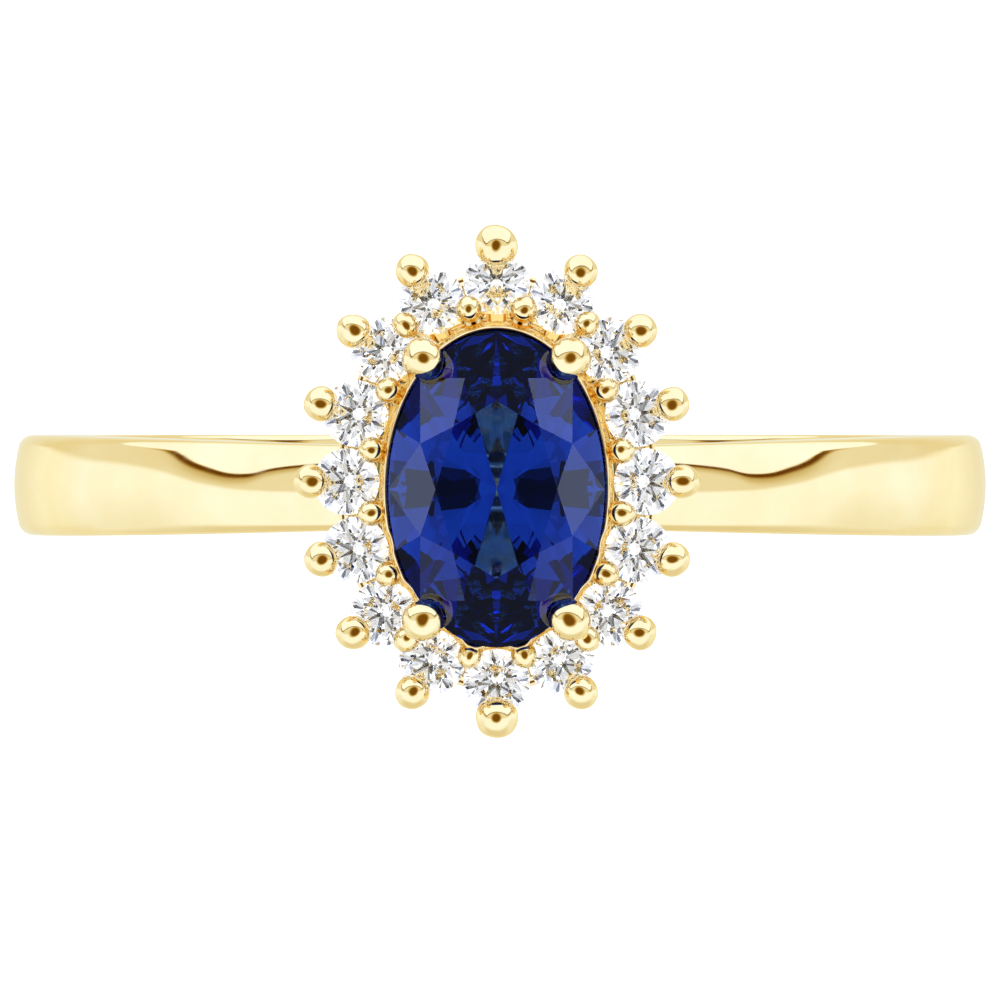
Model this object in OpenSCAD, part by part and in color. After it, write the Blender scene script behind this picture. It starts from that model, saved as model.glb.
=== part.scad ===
// Oval sapphire and diamond cluster ring.
// +Z points up to the head, the finger goes through along Y, and the origin is the middle of the finger hole.

/* [Band] */
// Diameter of the finger hole
finger_d = 17.2; // [17:0.1:17.4]
// Thickness of the band at the crown of its domed face
band_thick = 1.5; // [1.4:0.05:1.6]
// Width of the band at the sides and at the bottom
band_wide = 2.08; // [1.9:0.02:2.6]
// Width that the band narrows to under the middle of the head
band_narrow = 1.48; // [1.3:0.02:1.8]
// Radius of the band's rounded outer edges
band_edge_r = 0.3; // [0.2:0.05:0.4]
// Drop of the domed face from its crown to its rounded edges
band_dome = 0.08; // [0.04:0.01:0.12]

/* [Centre stone] */
// Length of the sapphire, along the finger
sapphire_l = 6; // [5.8:0.05:6.1]
// Width of the sapphire, across the finger
sapphire_w = 4.1; // [3.9:0.05:4.2]
// Height of the sapphire's girdle above the middle of the finger hole
sapphire_z = 12.55; // [12.5:0.05:12.8]
// Width of the sapphire's table as a share of its whole width
sapphire_table = 0.56; // [0.5:0.01:0.6]

/* [Halo] */
// Diameter of each diamond
diamond_d = 1.27; // [1.2:0.01:1.28]
// Half width of the oval that the diamonds' middles lie on
halo_x = 2.86; // [2.82:0.01:2.92]
// Half length of the oval that the diamonds' middles lie on
halo_y = 3.81; // [3.78:0.01:3.87]
// Height of the diamonds' girdles above the middle of the finger hole
diamond_z = 12.02; // [11.98:0.01:12.06]
// Outward tilt of each diamond
diamond_tilt = 8; // [4:1:10]
// Width of each diamond's table as a share of its diameter
diamond_table = 0.58; // [0.54:0.01:0.62]
// How far the halo's middle lies from the sapphire's, along the finger
halo_offset = 0.14; // [0:0.01:0.16]

/* [Claws] */
// Diameter of the claw wire
wire_d = 0.48; // [0.4:0.01:0.52]
// Diameter of the rounded heads of the outer claws
outer_head_d = 0.66; // [0.56:0.01:0.7]
// Diameter of the rounded heads of the two outer claws at the ends of the halo
end_head_d = 0.82; // [0.66:0.01:0.84]
// Diameter of the rounded heads of the four centre claws
centre_head_d = 0.8; // [0.6:0.01:0.82]
// Diameter of the rounded heads of the claws shared by two diamonds
shared_head_d = 0.5; // [0.44:0.01:0.54]
// Angle from the sapphire's width to each centre claw, round its oval
centre_angle = 52; // [49:1:55]

/* [Gallery] */
// Half width of the base rail's middle line
base_x = 2.4; // [2.3:0.05:2.5]
// Half length of the base rail's middle line
base_y = 3.2; // [3.1:0.05:3.3]
// Height of the base rail's middle line above the middle of the finger hole
base_z = 10; // [9.95:0.01:10.05]
// Diameter of the base rail's wire
base_wire_d = 0.7; // [0.6:0.02:0.76]

/* [Hidden] */
diamonds = 16;
gold = "#e6bf55";
sapphire_blue = "#1d3aa8";
diamond_white = "#eef2f6";

// Proportions of a brilliant cut, for a girdle radius of 1
mains = 8;
main_step = 360 / mains;
crown_tan = tan(34.5);
pavilion_tan = tan(40.75);
girdle_half = 0.03;
star_share = 0.5;
lower_half_share = 0.8;

// Band section
finger_r = finger_d / 2;
band_r = finger_r + band_thick;
inner_edge_r = 0.12;
edge_y = band_wide / 2 - band_edge_r;
dome_r = (edge_y * edge_y + band_dome * band_dome) / (2 * band_dome);
dome_mid = band_r - dome_r;
edge_mid = dome_mid + sqrt(pow(dome_r - band_edge_r, 2) - edge_y * edge_y);

// Stones
sapphire_x = sapphire_w / 2;
sapphire_y = sapphire_l / 2;
diamond_r = diamond_d / 2;
tilt_rise = diamond_r * sin(diamond_tilt);

// Claws: how far each head lies from the stone or the oval that it grips, and above the girdle
outer_reach = 0.68;
outer_rise = 0.12 - tilt_rise;
centre_reach = 0.18;
centre_rise = 0.17;
shared_in = 0.45;
shared_rise = 0.08 + tilt_rise;
corner_shared_in = 0.05;
corner_shared_rise = 0.14;
seat_gap = 0.01;

// Halo rail and collet: each section's edges, outward from its oval and above the finger hole's middle
rail_low = diamond_z - 0.88;
rail_high = diamond_z - 0.6;
rail_inner = -0.1;
rail_outer = 0.2;
collet_low = sapphire_z - 1.45;
bar_z = diamond_z - 0.64;
bar_d = 0.26;

function numbered(name, i) = str(name, i < 10 ? "_0" : "_", i);

// A point of an ellipse, and the direction straight out of the ellipse there
function on_oval(half_x, half_y, angle) = [half_x * cos(angle), half_y * sin(angle)];
function out_of_oval(half_x, half_y, angle) = atan2(sin(angle) / half_y, cos(angle) / half_x);

// Lengths along an ellipse against the angle, every degree
function oval_lengths(half_x, half_y) = [
    for (a = 0, s = 0; a <= 360;
        s = s + norm(on_oval(half_x, half_y, a + 1) - on_oval(half_x, half_y, a)), a = a + 1)
        [s, a]
];

// The angle at which a share of the way round an ellipse has been passed
function even_angle(half_x, half_y, share) =
    let (lengths = oval_lengths(half_x, half_y))
    lookup(share * lengths[360][0], lengths);

// The head's places are shares of the way round: a diamond's, and the gap's before the next diamond
function diamond_share(i) = (i - 1) / diamonds;
function gap_share(i) = (i - 0.5) / diamonds;

// The gaps that the four centre claws stand in
function corner_gap(c) = c % 2 == 1 ? 4 * c - 1 : 4 * c - 2;
function is_corner(i) = i % 8 == 3 || i % 8 == 6;

// The diamonds at the two ends of the halo
function is_end(i) = i % 8 == 5;

// A point beside the halo's oval, out from it by a distance
function beside_halo(share, out, z) =
    let (angle = even_angle(halo_x, halo_y, share))
    let (spot = on_oval(halo_x, halo_y, angle))
    let (way = out_of_oval(halo_x, halo_y, angle))
    [spot.x + out * cos(way), spot.y + halo_offset + out * sin(way), z];

// Moves children to a place on the halo's oval, with +X pointing out of the oval
module at_halo(share) {
    angle = even_angle(halo_x, halo_y, share);
    spot = on_oval(halo_x, halo_y, angle);
    translate([spot.x, spot.y + halo_offset, 0])
        rotate([0, 0, out_of_oval(halo_x, halo_y, angle)])
            children();
}

// A closed rail along an oval of four arcs, from a 2D section whose x is measured outward from the oval.
// The arcs meet on the slant of a 3-4-5 triangle between their middles, so they run smoothly into each other.
module oval_rail(half_x, half_y) {
    unit = (half_y - half_x) / 2;
    end_mid = [0, 3 * unit];
    end_r = half_y - end_mid.y;
    side_mid = [-4 * unit, 0];
    side_r = half_x - side_mid.x;
    for (side = [0, 180])
        rotate([0, 0, side]) {
            rail_arc(side_mid, side_r, [side_mid + [16, 12], side_mid + [16, -12]])
                children();
            rail_arc(end_mid, end_r, [end_mid + [16, 12], end_mid + [-16, 12]])
                children();
        }
}

// The part of a round rail that lies in the wedge between its middle and two far points
module rail_arc(mid, r, far) {
    intersection() {
        translate(mid)
            rotate_extrude($fn = 120)
                translate([r, 0])
                    children();
        linear_extrude(height = 4 * band_r, center = true)
            polygon([mid, far[0], far[1]]);
    }
}

// A round wire from one point to another
module wire(from, to, d) {
    run = to - from;
    translate(from)
        rotate([0, acos(run.z / norm(run)), atan2(run.y, run.x)])
            cylinder(h = norm(run), d = d);
}

// A claw of wire with a rounded head
module claw(foot, head, head_d) {
    wire(foot, head, wire_d);
    translate(head)
        sphere(d = head_d);
}

// A brilliant cut stretched to an oval, with the middle of its girdle at the origin
module brilliant(half_x, half_y, table) {
    star_mid = table * cos(main_step / 2);
    star_r = star_mid + star_share * (1 - star_mid);
    star_z = girdle_half + (1 - star_r * cos(main_step / 2)) * crown_tan;
    table_z = girdle_half + (1 - table) * crown_tan;
    lower_r = 1 - lower_half_share;
    lower_z = -girdle_half - (1 - lower_r * cos(main_step / 2)) * pavilion_tan;
    culet_z = -girdle_half - pavilion_tan;
    shape = [half_x, half_y, min(half_x, half_y)];
    m = mains;
    points = concat(
        [for (k = [0:m - 1]) [table * cos(k * main_step), table * sin(k * main_step), table_z]],
        [for (k = [0:m - 1]) [star_r * cos((k + 0.5) * main_step), star_r * sin((k + 0.5) * main_step), star_z]],
        [for (z = [girdle_half, -girdle_half], k = [0:2 * m - 1])
            [cos(k * main_step / 2), sin(k * main_step / 2), z]],
        [for (k = [0:m - 1]) [lower_r * cos((k + 0.5) * main_step), lower_r * sin((k + 0.5) * main_step), lower_z]],
        [[0, 0, culet_z]]
    );
    star = m;
    top = 2 * m;
    low = 4 * m;
    keel = 6 * m;
    culet = 7 * m;
    faces = concat(
        [[for (k = [m - 1:-1:0]) k]],
        [for (k = [0:m - 1]) [k, (k + 1) % m, star + k]],
        [for (k = [0:m - 1]) [k, star + k, top + 2 * k, star + (k + m - 1) % m]],
        [for (k = [0:m - 1]) [star + k, top + 2 * k + 1, top + 2 * k]],
        [for (k = [0:m - 1]) [star + k, top + (2 * k + 2) % (2 * m), top + 2 * k + 1]],
        [for (k = [0:2 * m - 1]) [top + k, top + (k + 1) % (2 * m), low + (k + 1) % (2 * m), low + k]],
        [for (k = [0:m - 1]) [low + 2 * k, low + 2 * k + 1, keel + k]],
        [for (k = [0:m - 1]) [low + 2 * k + 1, low + (2 * k + 2) % (2 * m), keel + k]],
        [for (k = [0:m - 1]) [culet, keel + (k + m - 1) % m, low + 2 * k, keel + k]]
    );
    polyhedron([for (p = points) [p.x * shape.x, p.y * shape.y, p.z * shape.z]], faces);
}

// The round room that one diamond takes, which its claws are notched for
module diamond_seat(share) {
    r = diamond_r + seat_gap;
    girdle_z = girdle_half * diamond_r + seat_gap;
    at_halo(share)
        translate([0, 0, diamond_z])
            rotate([0, diamond_tilt, 0])
                rotate_extrude()
                    polygon([
                        [0, -girdle_z - pavilion_tan * r],
                        [r, -girdle_z],
                        [r, girdle_z],
                        [diamond_table * r, girdle_z + crown_tan * (1 - diamond_table) * r],
                        [0, girdle_z + crown_tan * (1 - diamond_table) * r]
                    ]);
}

// Points along an arc, in the direction from one angle to another
function arc(mid, r, from, to, steps) = [
    for (k = [0:steps])
        let (a = from + (to - from) * k / steps)
        [mid.x + r * cos(a), mid.y + r * sin(a)]
];

// The band's section, x out from the middle of the finger hole and y across the band
module band_section() {
    lean = asin(edge_y / (dome_r - band_edge_r));
    inner_mid = [finger_r + inner_edge_r, band_wide / 2 - inner_edge_r];
    polygon(concat(
        arc([inner_mid.x, -inner_mid.y], inner_edge_r, 180, 270, 3),
        arc([edge_mid, -edge_y], band_edge_r, -90, -lean, 6),
        [for (k = [1:9]) let (a = lean * (k / 5 - 1)) [dome_mid + dome_r * cos(a), dome_r * sin(a)]],
        arc([edge_mid, edge_y], band_edge_r, lean, 90, 6),
        arc(inner_mid, inner_edge_r, 90, 180, 3)
    ));
}

// The room that the band keeps within: full width below, narrowing above towards the head
module band_room() {
    far = band_r + 1;
    far_half = band_wide / 2 + (band_wide - band_narrow) / 2 / band_r;
    translate([-far, -band_wide, -far])
        cube([2 * far, 2 * band_wide, far]);
    linear_extrude(height = far)
        polygon([
            [-far, -far_half],
            [0, -band_narrow / 2],
            [far, -far_half],
            [far, far_half],
            [0, band_narrow / 2],
            [-far, far_half]
        ]);
}

module shank() {
    color(gold)
        intersection() {
            rotate([90, 0, 0])
                rotate_extrude($fn = 200)
                    band_section();
            band_room();
        }
}

// An oval wire, filed underneath to sit on the band
module base_rail() {
    color(gold)
        difference() {
            translate([0, 0, base_z])
                oval_rail(base_x, base_y)
                    circle(d = base_wire_d, $fn = 32);
            rotate([90, 0, 0])
                cylinder(r = band_r, h = band_wide, center = true, $fn = 200);
        }
}

// The oval rail below the diamonds' points, joining the outer claws and the cross bars
module halo_rail() {
    color(gold)
        translate([0, halo_offset, 0])
            oval_rail(halo_x, halo_y)
                polygon([
                    [rail_inner, rail_low],
                    [rail_outer - 0.08, rail_low],
                    [rail_outer, rail_low + 0.08],
                    [rail_outer, rail_high - 0.06],
                    [rail_outer - 0.06, rail_high],
                    [rail_inner, rail_high]
                ]);
}

// The oval wall under the sapphire, with a ledge outside it below the diamonds' inner edges
module centre_collet() {
    color(gold)
        oval_rail(sapphire_x, sapphire_y)
            polygon([
                [-0.45, collet_low],
                [0, collet_low],
                [0.2, collet_low + 0.25],
                [0.2, collet_low + 0.68],
                [0, collet_low + 0.8],
                [0, collet_low + 1.3],
                [-0.33, collet_low + 1.1],
                [-0.45, collet_low + 0.95]
            ]);
}

// Short bars from the collet to the halo rail, one in each gap between two diamonds
module cross_bars() {
    color(gold)
        for (i = [1:diamonds])
            wire(beside_halo(gap_share(i), -0.62, bar_z), beside_halo(gap_share(i), 0.1, bar_z), bar_d);
}

// A claw over the sapphire's girdle, standing on the base rail beside the collet
module centre_claw(c) {
    angle = c % 2 == 1 ? 90 * (c - 1) + centre_angle : 90 * c - centre_angle;
    foot = on_oval(base_x, base_y, angle);
    spot = on_oval(sapphire_x, sapphire_y, angle);
    way = out_of_oval(sapphire_x, sapphire_y, angle);
    head = spot + centre_reach * [cos(way), sin(way)];
    color(gold)
        difference() {
            claw([foot.x, foot.y, base_z], [head.x, head.y, sapphire_z + centre_rise], centre_head_d);
            translate([0, 0, sapphire_z])
                brilliant(sapphire_x, sapphire_y, sapphire_table);
            for (side = [-0.5, 0.5])
                diamond_seat(gap_share(corner_gap(c) + side));
        }
}

// A claw over the outer edge of one diamond, flaring up from the base rail
module outer_claw(i) {
    share = diamond_share(i);
    foot = on_oval(base_x, base_y, even_angle(base_x, base_y, share));
    color(gold)
        difference() {
            claw(
                [foot.x, foot.y, base_z],
                beside_halo(share, outer_reach, diamond_z + outer_rise),
                is_end(i) ? end_head_d : outer_head_d
            );
            diamond_seat(share);
        }
}

// A small claw in the gap between two diamonds, standing on its cross bar
module shared_claw(i) {
    share = gap_share(i);
    inward = is_corner(i) ? corner_shared_in : shared_in;
    rise = is_corner(i) ? corner_shared_rise : shared_rise;
    color(gold)
        difference() {
            claw(
                beside_halo(share, -inward, bar_z),
                beside_halo(share, -inward, diamond_z + rise),
                shared_head_d
            );
            for (side = [-0.5, 0.5])
                diamond_seat(gap_share(i + side));
        }
}

module sapphire() {
    color(sapphire_blue)
        translate([0, 0, sapphire_z])
            brilliant(sapphire_x, sapphire_y, sapphire_table);
}

module diamond(i) {
    color(diamond_white)
        at_halo(diamond_share(i))
            translate([0, 0, diamond_z])
                rotate([0, diamond_tilt, 0])
                    brilliant(diamond_r, diamond_r, diamond_table);
}

shank();
base_rail();
halo_rail();
centre_collet();
cross_bars();
sapphire();
for (i = [1:4]) centre_claw(i);
for (i = [1:diamonds]) outer_claw(i);
for (i = [1:diamonds]) shared_claw(i);
for (i = [1:diamonds]) diamond(i);
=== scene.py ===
"""Looks of the oval sapphire and diamond cluster ring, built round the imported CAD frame."""

import math
import random

import bmesh
import bpy
from mathutils import Matrix, Vector, noise


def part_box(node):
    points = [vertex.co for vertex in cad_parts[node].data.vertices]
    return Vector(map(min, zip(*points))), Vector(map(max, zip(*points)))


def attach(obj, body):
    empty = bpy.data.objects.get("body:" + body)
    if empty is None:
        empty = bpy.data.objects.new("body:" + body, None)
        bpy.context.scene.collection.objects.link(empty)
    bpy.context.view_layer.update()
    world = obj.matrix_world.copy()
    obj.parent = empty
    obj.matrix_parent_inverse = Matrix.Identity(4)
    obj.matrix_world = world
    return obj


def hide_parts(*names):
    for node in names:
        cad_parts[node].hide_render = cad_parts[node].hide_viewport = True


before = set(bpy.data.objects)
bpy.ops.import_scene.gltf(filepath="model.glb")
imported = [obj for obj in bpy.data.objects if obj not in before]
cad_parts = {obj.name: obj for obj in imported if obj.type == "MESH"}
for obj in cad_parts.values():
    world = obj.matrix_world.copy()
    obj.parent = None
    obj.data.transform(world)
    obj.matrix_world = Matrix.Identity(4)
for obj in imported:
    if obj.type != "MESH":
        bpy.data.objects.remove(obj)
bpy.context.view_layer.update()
MM = 0.001

# ---- Sizes, in millimetres, as the CAD model has them ----

FINGER_R = 8.6
BAND_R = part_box("shank")[1].x / MM
BAND_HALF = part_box("shank")[1].y / MM
BAND_TOP_HALF = 0.74
BAND_EDGE_R = 0.3
BAND_DOME = 0.08
INNER_EDGE_R = 0.12

SAPPHIRE_HALF = (2.05, 3.0)
SAPPHIRE_Z = 12.55
SAPPHIRE_TABLE = 0.56
DIAMOND_R = 0.635
DIAMOND_Z = 12.02
DIAMOND_TILT = 8.0
DIAMOND_TABLE = 0.58
DIAMONDS = 16
HALO_HALF = (2.86, 3.81)
HALO_OFFSET = 0.14
BASE_HALF = (2.4, 3.2)
BASE_Z = 10.0
BASE_WIRE_R = 0.35

GIRDLE_HALF = 0.03
CROWN_TAN = math.tan(math.radians(34.5))
PAVILION_TAN = math.tan(math.radians(40.75))
STAR_SHARE = 0.5
LOWER_HALF_SHARE = 0.8
MAINS = 8

WIRE_R = 0.24
# the flared foot of a claw, as distances up it and shares of the wire's radius
FOOT_FLARE = [(0.0, 1.25), (0.12, 1.08), (0.3, 1.0)]
CENTRE_HEAD_R, OUTER_HEAD_R, END_HEAD_R, GAP_HEAD_R = 0.4, 0.33, 0.41, 0.25
HEAD_DENT, DENTS_PER_MM = 0.03, 2.4
CENTRE_CLAW_ANGLE = 52
# how far each claw's head lies out from its oval, or in where negative, and above its stones' girdles
TILT_RISE = DIAMOND_R * math.sin(math.radians(DIAMOND_TILT))
CENTRE_REACH, CENTRE_RISE = 0.18, 0.17
OUTER_REACH, OUTER_RISE = 0.68, 0.12 - TILT_RISE
GAP_REACH, GAP_RISE = -0.45, 0.08 + TILT_RISE
CORNER_GAP_REACH, CORNER_GAP_RISE = -0.05, 0.14

RAIL_LOW, RAIL_HIGH = DIAMOND_Z - 0.88, DIAMOND_Z - 0.6
RAIL_INNER, RAIL_OUTER = -0.1, 0.2
BAR_Z, BAR_R = DIAMOND_Z - 0.64, 0.13
BAR_INNER, BAR_OUTER = -0.62, 0.1
COLLET_LOW = SAPPHIRE_Z - 1.45
LIP_MOST, LIP_GAP = 0.12, 0.05


# ---- Ovals and the places round the head ----


def on_oval(half, angle):
    return Vector((half[0] * math.cos(angle), half[1] * math.sin(angle), 0))


def out_of_oval(half, angle):
    return Vector((math.cos(angle) / half[0], math.sin(angle) / half[1], 0)).normalized()


def even_angle(half, share, steps=720):
    """The angle at which a share of the way round an oval has been passed."""
    points = [on_oval(half, math.tau * k / steps) for k in range(steps + 1)]
    runs = [(b - a).length for a, b in zip(points, points[1:])]
    wanted = (share % 1) * sum(runs)
    for k, run in enumerate(runs):
        if wanted <= run:
            return math.tau * (k + wanted / run) / steps
        wanted -= run
    return math.tau


def beside_halo(share, out, z):
    """A point out from the halo's oval by a distance, in millimetres."""
    angle = even_angle(HALO_HALF, share)
    spot = on_oval(HALO_HALF, angle) + out * out_of_oval(HALO_HALF, angle)
    return Vector((spot.x, spot.y + HALO_OFFSET, z))


def diamond_share(i):
    return (i - 1) / DIAMONDS


def gap_share(i):
    return (i - 0.5) / DIAMONDS


def is_end(i):
    """Whether a diamond is one of the two at the ends of the halo."""
    return i % 8 == 5


def is_corner_gap(i):
    """Whether a gap between diamonds is one of the four that a centre claw stands in."""
    return i % 8 in (3, 6)


def stone_place(share):
    """Matrix from a diamond's frame, its girdle's middle at the origin, to the ring's, in millimetres."""
    out = out_of_oval(HALO_HALF, even_angle(HALO_HALF, share))
    turn = Matrix.Rotation(math.atan2(out.y, out.x), 4, "Z")
    tilt = Matrix.Rotation(math.radians(DIAMOND_TILT), 4, "Y")
    return Matrix.Translation(beside_halo(share, 0, DIAMOND_Z)) @ turn @ tilt


# ---- Meshes ----


def new_piece(name, bm, material, nodes, smooth=True):
    """Turns a bmesh in millimetres into a piece of the ring that stands for CAD nodes."""
    bmesh.ops.recalc_face_normals(bm, faces=bm.faces)
    bmesh.ops.scale(bm, vec=(MM, MM, MM), verts=bm.verts)
    mesh = bpy.data.meshes.new(name)
    bm.to_mesh(mesh)
    bm.free()
    mesh.polygons.foreach_set("use_smooth", [smooth] * len(mesh.polygons))
    piece = bpy.data.objects.new(name, mesh)
    bpy.context.scene.collection.objects.link(piece)
    mesh.materials.append(material)
    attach(piece, "root")
    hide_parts(*nodes)
    return piece


def skin_rings(bm, rings, closed):
    """Quads between rings of points that all hold the same number of points."""
    rows = [[bm.verts.new(p) for p in ring] for ring in rings]
    pairs = list(zip(rows, rows[1:]))
    if closed:
        pairs.append((rows[-1], rows[0]))
    for low, high in pairs:
        count = len(low)
        for k in range(count):
            bm.faces.new((low[k], low[(k + 1) % count], high[(k + 1) % count], high[k]))
    return rows


def arc(mid, r, start, end, steps):
    """Points of a 2D arc, angles in degrees."""
    angles = [math.radians(start + (end - start) * k / steps) for k in range(steps + 1)]
    return [(mid[0] + r * math.cos(a), mid[1] + r * math.sin(a)) for a in angles]


def rounded(corners, r, steps=5):
    """A closed 2D outline with each corner rounded by at most r."""
    outline = []
    count = len(corners)
    for k in range(count):
        here = Vector(corners[k])
        before = Vector(corners[k - 1]) - here
        after = Vector(corners[(k + 1) % count]) - here
        reach = min(r, 0.45 * before.length, 0.45 * after.length)
        start = here + before.normalized() * reach
        end = here + after.normalized() * reach
        for s in range(steps + 1):
            t = s / steps
            outline.append(tuple((1 - t) ** 2 * start + 2 * t * (1 - t) * here + t * t * end))
    return outline


def oval_rail(half, section_at, steps=240, offset_y=0.0):
    """A rail round an oval. section_at gives its outline, as distance outward and height, at a point."""
    rings = []
    for k in range(steps):
        angle = even_angle(half, k / steps)
        spot = on_oval(half, angle)
        out = out_of_oval(half, angle)
        rings.append([spot + u * out + Vector((0, offset_y, v)) for u, v in section_at(spot)])
    bm = bmesh.new()
    skin_rings(bm, rings, closed=True)
    return bm


# ---- Cut stones ----


def brilliant_facets(table):
    """Planes of a brilliant cut with a girdle radius of 1, each as a point on it and its outward normal."""
    half_step = math.pi / MAINS
    star_mid = table * math.cos(half_step)
    star_r = star_mid + STAR_SHARE * (1 - star_mid)
    star_z = GIRDLE_HALF + (1 - star_r * math.cos(half_step)) * CROWN_TAN
    table_z = GIRDLE_HALF + (1 - table) * CROWN_TAN
    keel_r = 1 - LOWER_HALF_SHARE
    keel_z = -GIRDLE_HALF - (1 - keel_r * math.cos(half_step)) * PAVILION_TAN

    def at(r, steps_round, z):
        angle = steps_round * half_step
        return Vector((r * math.cos(angle), r * math.sin(angle), z))

    def through(a, b, c):
        normal = (b - a).cross(c - a).normalized()
        return a, normal if normal.dot(a) > 0 else -normal

    planes = [(Vector((0, 0, table_z)), Vector((0, 0, 1)))]
    for k in range(MAINS):
        main, star, after = 2 * k, 2 * k + 1, 2 * k + 2
        planes += [
            through(at(table, main, table_z), at(1, main, GIRDLE_HALF), at(star_r, star, star_z)),
            through(at(table, main, table_z), at(table, after, table_z), at(star_r, star, star_z)),
            through(at(star_r, star, star_z), at(1, main, GIRDLE_HALF), at(1, star, GIRDLE_HALF)),
            through(at(star_r, star, star_z), at(1, after, GIRDLE_HALF), at(1, star, GIRDLE_HALF)),
            through(at(keel_r, star, keel_z), at(1, main, -GIRDLE_HALF), at(1, star, -GIRDLE_HALF)),
            through(at(keel_r, star, keel_z), at(1, after, -GIRDLE_HALF), at(1, star, -GIRDLE_HALF)),
            through(at(1, main, -GIRDLE_HALF), at(keel_r, star, keel_z), at(keel_r, star - 2, keel_z)),
        ]
    return planes


def cut_stone(half_x, half_y, table, girdle_sides=96):
    """A round blank cut facet by facet, then stretched to its oval."""
    bm = bmesh.new()
    bmesh.ops.create_cone(
        bm, cap_ends=True, cap_tris=False, segments=girdle_sides, radius1=1, radius2=1, depth=2.4
    )
    for point, normal in brilliant_facets(table):
        everything = bm.verts[:] + bm.edges[:] + bm.faces[:]
        cut = bmesh.ops.bisect_plane(
            bm, geom=everything, dist=1e-5, plane_co=point, plane_no=normal, clear_outer=True
        )
        rim = [e for e in cut["geom_cut"] if isinstance(e, bmesh.types.BMEdge) and e.is_boundary]
        if rim:
            bmesh.ops.contextual_create(bm, geom=rim)
    bmesh.ops.remove_doubles(bm, verts=bm.verts, dist=1e-4)
    bmesh.ops.scale(bm, vec=(half_x, half_y, min(half_x, half_y)), verts=bm.verts)
    return bm


# ---- Claws ----


def seat_push(point, into_stone, scale):
    """Moves a point that lies inside a stone out to the stone's nearest surface."""
    p = into_stone @ point
    u = Vector((p.x / scale[0], p.y / scale[1], p.z / min(scale)))
    r = math.hypot(u.x, u.y)
    crown = (u.z - GIRDLE_HALF + (r - 1) * CROWN_TAN) * math.cos(math.atan(CROWN_TAN))
    pavilion = (-u.z - GIRDLE_HALF + (r - 1) * PAVILION_TAN) * math.cos(math.atan(PAVILION_TAN))
    depth = max(crown, pavilion, r - 1.01)
    if depth >= 0 or r < 1e-6:
        return point
    way = Vector((u.x / r, u.y / r, 0))
    if depth == crown:
        push = (way * CROWN_TAN + Vector((0, 0, 1))).normalized()
    elif depth == pavilion:
        push = (way * PAVILION_TAN - Vector((0, 0, 1))).normalized()
    else:
        push = way
    u -= push * depth
    return into_stone.inverted() @ Vector((u.x * scale[0], u.y * scale[1], u.z * min(scale)))


def claw_mesh(foot, head, head_r, lean, stones, sides=32):
    """A wire up to a round, hand-burnished head, drawn out a little along lean and cut for its stones."""
    run = head - foot
    axis = run.normalized()
    side = axis.orthogonal().normalized()
    across = axis.cross(side)
    neck = run.length - head_r * 0.82
    flare_end = FOOT_FLARE[-1][0]
    profile = [(along, WIRE_R * flare) for along, flare in FOOT_FLARE]
    profile += [(flare_end + (neck - flare_end) * k / 10, WIRE_R) for k in range(1, 11)]
    start = math.degrees(math.asin(WIRE_R / head_r))
    for k in range(1, 17):
        a = math.radians(180 - start - (180 - start) * k / 16)
        profile.append((run.length + head_r * math.cos(a), max(head_r * math.sin(a), 0.004)))
    rings = []
    for along, r in profile:
        mid = foot + axis * along
        share = max(0.0, (along - neck) / (run.length + head_r - neck))
        ring = []
        for k in range(sides):
            a = math.tau * k / sides
            spoke = (math.cos(a) * side + math.sin(a) * across) * r
            point = mid + spoke + lean * (0.5 * share * max(0.0, spoke.dot(lean.normalized())) / head_r)
            dent = HEAD_DENT * min(1.0, 2 * share) * noise.noise(DENTS_PER_MM * point)
            ring.append(point + dent * (point - head).normalized())
        rings.append(ring)
    bm = bmesh.new()
    rows = skin_rings(bm, rings, closed=False)
    bm.faces.new(rows[0])
    bm.faces.new(rows[-1])
    for v in bm.verts:
        for into_stone, scale in stones:
            v.co = seat_push(v.co, into_stone, scale)
    return bm


# ---- Materials ----


def node(tree, kind, **inputs):
    made = tree.nodes.new(kind)
    for key, value in inputs.items():
        made.inputs[key.replace("_", " ")].default_value = value
    return made


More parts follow.
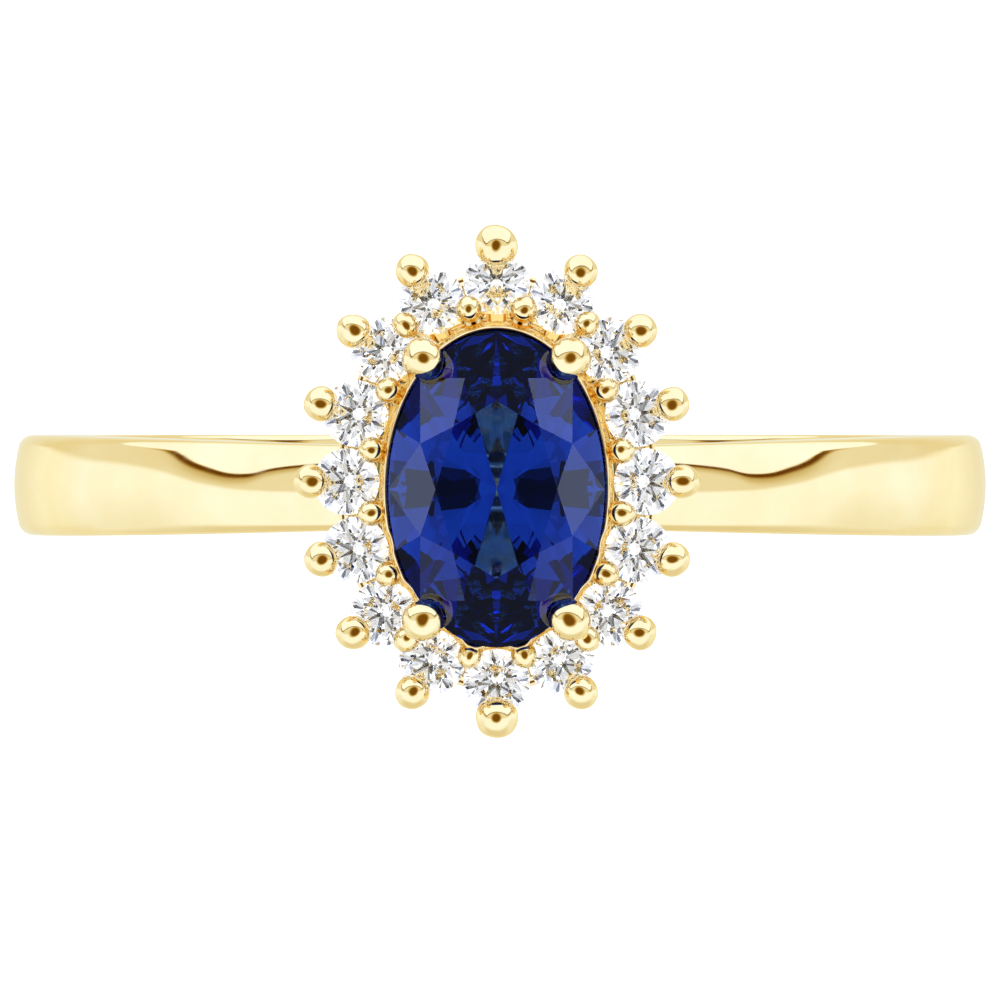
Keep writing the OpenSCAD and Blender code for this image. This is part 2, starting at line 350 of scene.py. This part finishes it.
def gold_material(name, rough):
    """Polished gold, with a drifting alloy colour, a smeared polish and a very slight wave."""
    m = bpy.data.materials.new(name)
    m.use_nodes = True
    tree = m.node_tree
    shader = tree.nodes["Principled BSDF"]
    shader.inputs["Metallic"].default_value = 1.0
    place = tree.nodes.new("ShaderNodeTexCoord")

    tint = node(tree, "ShaderNodeTexNoise", Scale=900.0, Detail=3.0)
    tree.links.new(place.outputs["Object"], tint.inputs["Vector"])
    colour = tree.nodes.new("ShaderNodeValToRGB")
    colour.color_ramp.elements[0].position = 0.3
    colour.color_ramp.elements[0].color = (0.955, 0.755, 0.38, 1)
    colour.color_ramp.elements[1].position = 0.7
    colour.color_ramp.elements[1].color = (0.985, 0.81, 0.445, 1)
    tree.links.new(tint.outputs["Fac"], colour.inputs["Fac"])
    tree.links.new(colour.outputs["Color"], shader.inputs["Base Color"])

    smear = node(tree, "ShaderNodeTexNoise", Scale=2500.0, Detail=5.0, Roughness=0.65)
    tree.links.new(place.outputs["Object"], smear.inputs["Vector"])
    spread = node(tree, "ShaderNodeMapRange")
    spread.inputs["From Min"].default_value = 0.35
    spread.inputs["From Max"].default_value = 0.7
    spread.inputs["To Min"].default_value = rough * 0.6
    spread.inputs["To Max"].default_value = rough * 1.5
    tree.links.new(smear.outputs["Fac"], spread.inputs["Value"])
    tree.links.new(spread.outputs["Result"], shader.inputs["Roughness"])

    wave = node(tree, "ShaderNodeTexNoise", Scale=500.0, Detail=1.0)
    tree.links.new(place.outputs["Object"], wave.inputs["Vector"])
    bump = node(tree, "ShaderNodeBump", Strength=0.02, Distance=0.0001)
    tree.links.new(wave.outputs["Fac"], bump.inputs["Height"])
    tree.links.new(bump.outputs["Normal"], shader.inputs["Normal"])
    return m


def gem_material(name, ior, zone_scale, zone_tint, absorb_colour=None, absorb_density=0.0):
    """A clear cut stone, its tint drifting along faint growth zones."""
    m = bpy.data.materials.new(name)
    m.use_nodes = True
    tree = m.node_tree
    shader = tree.nodes["Principled BSDF"]
    place = tree.nodes.new("ShaderNodeTexCoord")
    stretch = tree.nodes.new("ShaderNodeMapping")
    stretch.inputs["Rotation"].default_value = (0.3, 0.2, 0.5)
    stretch.inputs["Scale"].default_value = (1.0, 0.15, 1.0)
    tree.links.new(place.outputs["Object"], stretch.inputs["Vector"])
    zones = node(tree, "ShaderNodeTexNoise", Scale=zone_scale, Detail=3.0, Roughness=0.6)
    tree.links.new(stretch.outputs["Vector"], zones.inputs["Vector"])
    tint = tree.nodes.new("ShaderNodeValToRGB")
    tint.color_ramp.elements[0].position = 0.35
    tint.color_ramp.elements[0].color = (*zone_tint, 1)
    tint.color_ramp.elements[1].position = 0.6
    tint.color_ramp.elements[1].color = (1, 1, 1, 1)
    tree.links.new(zones.outputs["Fac"], tint.inputs["Fac"])
    tree.links.new(tint.outputs["Color"], shader.inputs["Base Color"])
    shader.inputs["Roughness"].default_value = 0.0
    shader.inputs["IOR"].default_value = ior
    shader.inputs["Transmission Weight"].default_value = 1.0
    if absorb_colour:
        volume = node(tree, "ShaderNodeVolumeAbsorption", Density=absorb_density)
        volume.inputs["Color"].default_value = (*absorb_colour, 1)
        tree.links.new(volume.outputs["Volume"], tree.nodes["Material Output"].inputs["Volume"])
    return m


gold = gold_material("yellow_gold", rough=0.05)
sapphire_glass = gem_material(
    "blue_sapphire", ior=1.77, zone_scale=1800.0, zone_tint=(0.78, 0.85, 0.95),
    absorb_colour=(0.0, 0.36, 0.77), absorb_density=1100.0,
)
diamond_glass = gem_material("white_diamond", ior=2.42, zone_scale=2500.0, zone_tint=(0.88, 0.9, 0.93))


# ---- Band ----


def band_section(half):
    """Outline of the band at a half width: x out from the finger hole's middle, y across the band."""
    edge_y = half - BAND_EDGE_R
    dome_r = (edge_y**2 + BAND_DOME**2) / (2 * BAND_DOME)
    dome_mid = BAND_R - dome_r
    edge_mid = dome_mid + math.sqrt((dome_r - BAND_EDGE_R) ** 2 - edge_y**2)
    lean = math.degrees(math.asin(edge_y / (dome_r - BAND_EDGE_R)))
    inner = FINGER_R + INNER_EDGE_R
    inner_y = half - INNER_EDGE_R
    points = arc((inner, -inner_y), INNER_EDGE_R, 180, 270, 4)
    points += arc((edge_mid, -edge_y), BAND_EDGE_R, -90, -lean, 10)
    points += arc((dome_mid, 0), dome_r, -lean, lean, 16)[1:-1]
    points += arc((edge_mid, edge_y), BAND_EDGE_R, lean, 90, 10)
    points += arc((inner, inner_y), INNER_EDGE_R, 90, 180, 4)
    flat_steps = 8
    points += [(FINGER_R, inner_y - 2 * inner_y * k / flat_steps) for k in range(1, flat_steps)]
    return points


def build_shank(steps=480):
    rings = []
    for k in range(steps):
        turn = math.tau * k / steps
        ring_out = Vector((math.cos(turn), 0, math.sin(turn)))
        half = BAND_HALF
        if ring_out.z > 0:
            half = BAND_TOP_HALF + (BAND_HALF - BAND_TOP_HALF) * abs(ring_out.x)
        rings.append([x * ring_out + Vector((0, y, 0)) for x, y in band_section(half)])
    bm = bmesh.new()
    skin_rings(bm, rings, closed=True)
    new_piece("band", bm, gold, ["shank"])


build_shank()


# ---- Gallery ----


def collet_section(spot):
    """The collet's wall, with a soft lip under the sapphire as wide as the diamonds leave free."""
    diamonds = [stone_place(diamond_share(i)).translation.xy for i in range(1, DIAMONDS + 1)]
    room = min((middle - spot.xy).length for middle in diamonds)
    lip = min(max(room - DIAMOND_R - LIP_GAP, 0.0), LIP_MOST)
    corners = [
        (-0.45, 0.0), (0.0, 0.0), (0.2, 0.25), (0.2, 0.68), (0.03, 0.8),
        (lip, 1.1), (lip, 1.26), (lip - 0.05, 1.32), (-0.33, 1.1), (-0.45, 0.95),
    ]
    return rounded([(u, COLLET_LOW + v) for u, v in corners], 0.05)


def build_rails():
    wire = [(BASE_WIRE_R * math.cos(a), BASE_Z + BASE_WIRE_R * math.sin(a))
            for a in [math.tau * k / 24 for k in range(24)]]
    rail = oval_rail(BASE_HALF, lambda spot: wire)
    new_piece("base_gallery_rail", rail, gold, ["base_rail"])

    bar = rounded([
        (RAIL_INNER, RAIL_LOW), (RAIL_OUTER, RAIL_LOW), (RAIL_OUTER, RAIL_HIGH), (RAIL_INNER, RAIL_HIGH),
    ], 0.08)
    rail = oval_rail(HALO_HALF, lambda spot: bar, offset_y=HALO_OFFSET)
    new_piece("halo_gallery_rail", rail, gold, ["halo_rail"])

    wall = oval_rail(SAPPHIRE_HALF, collet_section)
    new_piece("sapphire_collet", wall, gold, ["centre_collet"])

    bars = bmesh.new()
    for i in range(1, DIAMONDS + 1):
        start = beside_halo(gap_share(i), BAR_INNER, BAR_Z)
        end = beside_halo(gap_share(i), BAR_OUTER, BAR_Z)
        axis = (end - start).normalized()
        side, up = axis.cross(Vector((0, 0, 1))), Vector((0, 0, 1))
        rings = [
            [start.lerp(end, t) + BAR_R * (math.cos(a) * side + math.sin(a) * up)
             for a in [math.tau * k / 16 for k in range(16)]]
            for t in [s / 6 for s in range(7)]
        ]
        rows = skin_rings(bars, rings, closed=False)
        bars.faces.new(rows[0])
        bars.faces.new(rows[-1])
    new_piece("gallery_bars", bars, gold, ["cross_bars"])


build_rails()


# ---- Stones and claws ----


def diamond_seat(share):
    return stone_place(share).inverted(), (DIAMOND_R, DIAMOND_R)


SAPPHIRE_SEAT = (Matrix.Translation((0, 0, -SAPPHIRE_Z)), SAPPHIRE_HALF)
rng = random.Random(5)


def build_stones():
    bm = cut_stone(*SAPPHIRE_HALF, SAPPHIRE_TABLE)
    bmesh.ops.translate(bm, vec=(0, 0, SAPPHIRE_Z), verts=bm.verts)
    new_piece("oval_sapphire", bm, sapphire_glass, ["sapphire"], smooth=False)
    for i in range(1, DIAMONDS + 1):
        bm = cut_stone(DIAMOND_R, DIAMOND_R, DIAMOND_TABLE, girdle_sides=64)
        spin = Matrix.Rotation(rng.uniform(0, math.pi / 4), 4, "Z")
        lean = Matrix.Rotation(math.radians(rng.uniform(-1.5, 1.5)), 4, rng.choice("XY"))
        bmesh.ops.transform(bm, matrix=stone_place(diamond_share(i)) @ lean @ spin, verts=bm.verts)
        new_piece(
            f"halo_diamond_{i:02d}", bm, diamond_glass, [f"diamond_{i:02d}"], smooth=False
        )


def build_centre_claws():
    for c in range(1, 5):
        odd = c % 2 == 1
        angle = math.radians(90 * (c - 1) + CENTRE_CLAW_ANGLE if odd else 90 * c - CENTRE_CLAW_ANGLE)
        foot = on_oval(BASE_HALF, angle) + Vector((0, 0, BASE_Z))
        out = out_of_oval(SAPPHIRE_HALF, angle)
        head = on_oval(SAPPHIRE_HALF, angle) + CENTRE_REACH * out + Vector((0, 0, SAPPHIRE_Z + CENTRE_RISE))
        gap = 4 * c - 1 if odd else 4 * c - 2
        stones = [SAPPHIRE_SEAT, diamond_seat(gap_share(gap - 0.5)), diamond_seat(gap_share(gap + 0.5))]
        bm = claw_mesh(foot, head, CENTRE_HEAD_R, -out * 0.1, stones)
        new_piece(f"sapphire_claw_{c}", bm, gold, [f"centre_claw_{c}"])


def build_outer_claw(i):
    share = diamond_share(i)
    foot = on_oval(BASE_HALF, even_angle(BASE_HALF, share)) + Vector((0, 0, BASE_Z))
    head = beside_halo(share, OUTER_REACH, DIAMOND_Z + OUTER_RISE)
    out = out_of_oval(HALO_HALF, even_angle(HALO_HALF, share))
    head_r = END_HEAD_R if is_end(i) else OUTER_HEAD_R
    bm = claw_mesh(foot, head, head_r, -out * 0.1, [diamond_seat(share)])
    new_piece(f"edge_claw_{i:02d}", bm, gold, [f"outer_claw_{i:02d}"])


def build_gap_claw(i):
    share = gap_share(i)
    reach, rise = (CORNER_GAP_REACH, CORNER_GAP_RISE) if is_corner_gap(i) else (GAP_REACH, GAP_RISE)
    out = out_of_oval(HALO_HALF, even_angle(HALO_HALF, share))
    stones = [diamond_seat(gap_share(i - 0.5)), diamond_seat(gap_share(i + 0.5)), SAPPHIRE_SEAT]
    foot = beside_halo(share, reach, BAR_Z)
    head = beside_halo(share, reach, DIAMOND_Z + rise)
    bm = claw_mesh(foot, head, GAP_HEAD_R, out * 0.08, stones, sides=24)
    new_piece(f"gap_claw_{i:02d}", bm, gold, [f"shared_claw_{i:02d}"])


build_stones()
build_centre_claws()
for i in range(1, DIAMONDS + 1):
    build_outer_claw(i)
    build_gap_claw(i)


# ---- Floor, light and camera ----


def build_floor():
    """A plain pale floor under the band, which the gold and the stones leave to the world to show."""
    bpy.ops.mesh.primitive_plane_add(size=2.0, location=(0, 0, -BAND_R * MM))
    floor = bpy.context.object
    floor.name = "floor"
    m = bpy.data.materials.new("floor")
    m.use_nodes = True
    m.node_tree.nodes["Principled BSDF"].inputs["Base Color"].default_value = (0.9, 0.9, 0.9, 1)
    m.node_tree.nodes["Principled BSDF"].inputs["Roughness"].default_value = 0.9
    floor.data.materials.append(m)
    floor.visible_glossy = False
    floor.visible_transmission = False


# each line across the far wall, as (height, distance to the far side) of a unit direction
SHADE_START = [
    (-1.0, 0.18), (-0.43, 0.17), (-0.17, 0.19), (0.06, 0.16), (0.3, 0.03), (0.48, -0.05), (1.0, -0.1),
]
SHADE_EDGE = [
    (-1.0, 0.75), (-0.56, 0.62), (-0.08, 0.5), (0.27, 0.258), (0.465, 0.193), (0.55, 0.316), (1.0, 0.9),
]
# how bright the tent is to the gold
PANEL, BRIGHT_PANEL, SHADE, DEEP_SHADE, EDGE_DARK = 1.2, 1.25, 0.9, 0.48, 0.06
NEAR_LOW, NEAR_WALL, BELOW = 1.02, 0.8, 0.97
LENS_DARK = 0.1
# the grade of each colour: (power, gain) over all, warmer towards the floor, and lifted under the stones
WARMTH = ((0.7, 0.94), (1.08, 0.99), (2.1, 1.02))
FLOOR_TINT = (0.97, 0.91, 0.72)
UNDER_STONES = (1.9, 2.5, 5.0)
# how bright the tent is to the stones: what their facets mirror, and what shines out through them
MIRROR_TINT = (0.85, 1.0, 1.5)
MIRROR_DARK, MIRROR_STRIP, MIRROR_WALL, MIRROR_LENS = 0.12, 1.05, 0.9, 0.04
STRIP_Z, STRIP_LIFT, NEAR_STRIP = 0.36, 0.25, 0.35
SHINE, SHINE_SIDES, SHINE_LENS, SHINE_CORE, SHINE_LOW, SHINE_BELOW = 1.2, 1.5, 0.95, 0.05, 1.05, 0.85


def build_world():
    """A light tent: a dark lens overhead, pale panels to the sides, and a shaded wall on the far side."""
    world = bpy.data.worlds.new("studio")
    bpy.context.scene.world = world
    world.use_nodes = True
    tree = world.node_tree
    place = tree.nodes.new("ShaderNodeTexCoord")
    split = tree.nodes.new("ShaderNodeSeparateXYZ")
    tree.links.new(place.outputs["Generated"], split.inputs["Vector"])
    y, z = split.outputs["Y"], split.outputs["Z"]

    def calc(kind, *values):
        made = tree.nodes.new("ShaderNodeMath")
        made.operation = kind
        for slot, value in zip(made.inputs, values):
            if isinstance(value, (int, float)):
                slot.default_value = value
            else:
                tree.links.new(value, slot)
        return made.outputs[0]

    def rise(value, low, high):
        """0 below low and 1 above high, or the other way round if high is the lower."""
        made = tree.nodes.new("ShaderNodeMapRange")
        made.interpolation_type = "SMOOTHSTEP"
        made.inputs["From Min"].default_value = low
        made.inputs["From Max"].default_value = high
        tree.links.new(value, made.inputs["Value"])
        return made.outputs["Result"]

    def curve(value, points):
        made = tree.nodes.new("ShaderNodeFloatCurve")
        made.mapping.clip_min_x, made.mapping.clip_min_y = -1.0, -1.0
        line = made.mapping.curves[0]
        line.points[0].location = points[0]
        line.points[1].location = points[-1]
        for point in points[1:-1]:
            line.points.new(*point)
        made.mapping.update()
        tree.links.new(value, made.inputs["Value"])
        return made.outputs[0]

    def fade(a, b, share):
        """a where share is 0, b where it is 1."""
        made = tree.nodes.new("ShaderNodeMix")
        for slot, value in ((0, share), (2, a), (3, b)):
            if isinstance(value, (int, float)):
                made.inputs[slot].default_value = value
            else:
                tree.links.new(value, made.inputs[slot])
        return made.outputs[0]

    # what the gold mirrors: the far wall's shade deepens up to a thin dark edge and ends in a bright panel
    into_shade = calc("SUBTRACT", y, curve(z, SHADE_START))
    past_edge = calc("SUBTRACT", y, curve(z, SHADE_EDGE))
    gold_sees = fade(PANEL, SHADE, rise(into_shade, -0.02, 0.04))
    deep = calc("MULTIPLY", rise(past_edge, -0.2, -0.03), rise(z, -0.1, 0.35))
    gold_sees = fade(gold_sees, DEEP_SHADE, deep)
    dark = calc("MULTIPLY", rise(past_edge, -0.075, -0.025), rise(z, -0.2, 0.1))
    gold_sees = fade(gold_sees, EDGE_DARK, dark)
    gold_sees = fade(gold_sees, BRIGHT_PANEL, rise(past_edge, 0.0, 0.025))
    low = rise(z, 0.3, -0.1)
    gold_sees = fade(gold_sees, NEAR_LOW, calc("MULTIPLY", rise(y, 0.05, -0.4), low))
    gold_sees = fade(gold_sees, NEAR_WALL, calc("MULTIPLY", rise(y, -0.5, -0.9), low))
    gold_sees = fade(gold_sees, LENS_DARK, rise(z, 0.76, 0.94))
    gold_sees = fade(gold_sees, BELOW, rise(z, -0.7, -0.95))

    # what the stones' facets mirror: a strip of panel to each side, dimmer on the near one, over a pale wall
    across = calc("ABSOLUTE", y)
    strip_z = calc("ADD", STRIP_Z, calc("MULTIPLY", across, STRIP_LIFT))
    off_strip = calc("ABSOLUTE", calc("SUBTRACT", z, strip_z))
    strip = calc("MULTIPLY", rise(off_strip, 0.14, 0.08), rise(across, 0.7, 0.6))
    strip = calc("MULTIPLY", strip, fade(1.0, NEAR_STRIP, rise(y, -0.05, -0.25)))
    lens = rise(z, 0.83, 0.9)
    facets_mirror = fade(MIRROR_DARK, MIRROR_STRIP, strip)
    facets_mirror = fade(facets_mirror, MIRROR_WALL, rise(z, 0.2, 0.08))
    facets_mirror = fade(facets_mirror, MIRROR_LENS, lens)

    # what shines out through the stones: both panels, with the dark lens above and little from below
    shines = fade(SHINE, SHINE_SIDES, calc("MULTIPLY", rise(across, 0.75, 0.5), rise(z, 0.1, 0.35)))
    shines = fade(shines, SHINE_LENS, lens)
    shines = fade(shines, SHINE_CORE, rise(z, 0.95, 0.975))
    shines = fade(shines, SHINE_LOW, rise(z, 0.3, 0.12))
    shines = fade(shines, SHINE_BELOW, rise(z, 0.0, -0.2))

    path = tree.nodes.new("ShaderNodeLightPath")
    sharp = path.outputs["Is Singular Ray"]
    under_stone = calc("MINIMUM", path.outputs["Transmission Depth"], 1.0)
    floorward = rise(z, -0.4, -0.7)
    colour = tree.nodes.new("ShaderNodeCombineColor")
    grades = zip(colour.inputs, WARMTH, FLOOR_TINT, UNDER_STONES, MIRROR_TINT)
    for slot, (power, gain), warm, lift, tint in grades:
        graded = calc("MULTIPLY", calc("POWER", gold_sees, power), gain)
        graded = calc("MULTIPLY", graded, fade(1.0, warm, floorward))
        graded = calc("MULTIPLY", graded, fade(1.0, lift, under_stone))
        mirrored = calc("MULTIPLY", facets_mirror, tint)
        stones_see = fade(mirrored, shines, path.outputs["Is Transmission Ray"])
        seen = fade(graded, stones_see, sharp)
        tree.links.new(fade(seen, 1.0, path.outputs["Is Camera Ray"]), slot)
    tree.links.new(colour.outputs["Color"], tree.nodes["Background"].inputs["Color"])


def build_lamp():
    """A very wide soft lamp overhead, for the floor and the faint shadow on it."""
    data = bpy.data.lights.new("lamp", "SUN")
    data.angle = math.radians(70)
    data.energy = 3.4
    lamp = bpy.data.objects.new("lamp", data)
    bpy.context.scene.collection.objects.link(lamp)
    lamp.visible_glossy = False
    lamp.visible_transmission = False


CAMERA_DISTANCE, FRAME_WIDTH = 140.0, 20.8333
CAMERA_AIM, CAMERA_LEAN = Vector((0.0, -0.32, 0.0)), Vector((0.0053, 0.0094, 1.0))


def build_camera():
    """Straight above the head, a touch off its axis, as far off as sets its size against the band."""
    data = bpy.data.cameras.new("camera")
    camera = bpy.data.objects.new("camera", data)
    bpy.context.scene.collection.objects.link(camera)
    data.sensor_width = 36.0
    data.lens = data.sensor_width * CAMERA_DISTANCE / FRAME_WIDTH
    data.clip_start, data.clip_end = 0.01, 10.0
    camera.location = (CAMERA_AIM + CAMERA_DISTANCE * CAMERA_LEAN) * MM
    back = CAMERA_LEAN.normalized()
    right = Vector((0, 1, 0)).cross(back).normalized()
    up = back.cross(right)
    turn = Matrix((right, up, back)).transposed().to_4x4()
    camera.matrix_world = Matrix.Translation(camera.location) @ turn
    bpy.context.scene.camera = camera


build_floor()
build_world()
build_lamp()
build_camera()

scene = bpy.context.scene
scene.view_settings.view_transform = "Standard"
scene.cycles.max_bounces = 24
scene.cycles.glossy_bounces = 12
scene.cycles.transmission_bounces = 24
